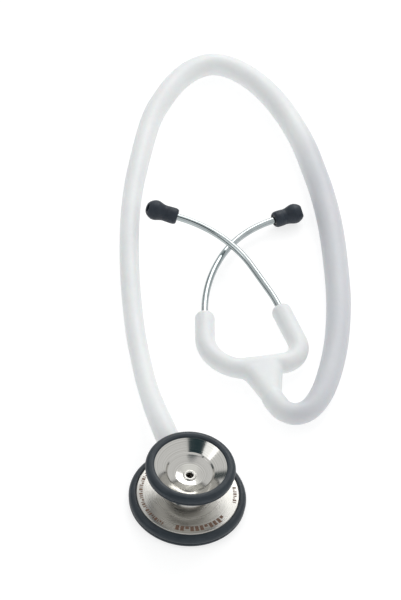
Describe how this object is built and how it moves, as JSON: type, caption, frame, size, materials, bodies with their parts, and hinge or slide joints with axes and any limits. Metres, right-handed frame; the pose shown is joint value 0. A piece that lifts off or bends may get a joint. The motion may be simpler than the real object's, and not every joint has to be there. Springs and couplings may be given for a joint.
{
  "type": "stethoscope",
  "caption": "Dual-head stethoscope with a steel bell and diaphragm chestpiece, a white looped hose, a wide yoke and crossed chrome ear tubes with dark soft tips.",
  "frame": {"origin": "centre of the diaphragm's outer face, on the plane the stethoscope rests on", "axes": "+Z out of the bell, away from the diaphragm; +Y from the chestpiece towards the top of the hose loop; +X to the right when seen from the bell side"},
  "size_m": [0.1085, 0.2947, 0.0247],
  "materials": {
    "steel": "satin turned stainless steel",
    "polished": "polished steel",
    "chrome_tube": "polished chrome plated tube",
    "ring_rubber": "matt charcoal rubber",
    "tip_rubber": "soft matt near-black silicone",
    "hose_pvc": "soft off-white PVC, satin",
    "membrane": "stiff resin sheet",
    "nipple_black": "black hard plastic",
    "bush_brass": "turned brass",
    "seal": "black seal rubber",
    "spring_steel": "spring steel"
  },
  "bodies": {
    "tubing": {"hose": "hose_pvc", "yoke": "hose_pvc", "leaf_spring": "spring_steel", "valve_stem": "polished", "stem_o_rings": "seal", "stem_collar": "polished"},
    "chestpiece": {"diaphragm_housing": "steel", "diaphragm": "membrane", "diaphragm_ring": "ring_rubber", "chest_neck": "polished", "bell_cup": "steel", "bell_ring": "ring_rubber", "detent_ball": "spring_steel", "detent_spring": "spring_steel", "detent_screw": "polished"},
    "left_arm_body": {"left_arm": "hose_pvc"},
    "right_arm_body": {"right_arm": "hose_pvc"},
    "left_tube_body": {"left_ear_tube": "chrome_tube", "left_bush": "bush_brass", "left_nipple": "nipple_black"},
    "right_tube_body": {"right_ear_tube": "chrome_tube", "right_bush": "bush_brass", "right_nipple": "nipple_black"},
    "left_tip_body": {"left_ear_tip": "tip_rubber"},
    "right_tip_body": {"right_ear_tip": "tip_rubber"}
  },
  "joints": [
    {"name": "head_turn", "type": "hinge", "parent": "tubing", "child": "chestpiece", "pos_m": [0, 0, 0.0123], "axis": [-0.4226, 0.9063, 0], "continuous": true},
    {"name": "left_arm_spread", "type": "hinge", "parent": "tubing", "child": "left_arm_body", "pos_m": [0.0175, 0.073, 0.005], "axis": [0, 0, 1], "range_deg": [0, 32], "stiffness_Nm_per_rad": 0.3},
    {"name": "right_arm_spread", "type": "hinge", "parent": "tubing", "child": "right_arm_body", "pos_m": [0.037, 0.079, 0.005], "axis": [0, 0, -1], "range_deg": [0, 24], "stiffness_Nm_per_rad": 0.3},
    {"name": "left_tube_twist", "type": "hinge", "parent": "left_arm_body", "child": "left_tube_body", "pos_m": [-0.00061, 0.10197, 0.005], "axis": [-0.0872, 0.9962, 0], "range_deg": [0, 30]},
    {"name": "right_tube_twist", "type": "hinge", "parent": "right_arm_body", "child": "right_tube_body", "pos_m": [0.03249, 0.10905, 0.00704], "axis": [-0.453, 0.8888, 0.0697], "range_deg": [0, 30]},
    {"name": "left_tip_turn", "type": "hinge", "parent": "left_tube_body", "child": "left_tip_body", "pos_m": [0.02598, 0.16485, 0.005], "axis": [0.8526, 0.5225, 0], "continuous": true},
    {"name": "right_tip_turn", "type": "hinge", "parent": "right_tube_body", "child": "right_tip_body", "pos_m": [-0.01528, 0.15228, 0.0132], "axis": [-0.9795, 0.1694, 0.1095], "continuous": true}
  ]
}
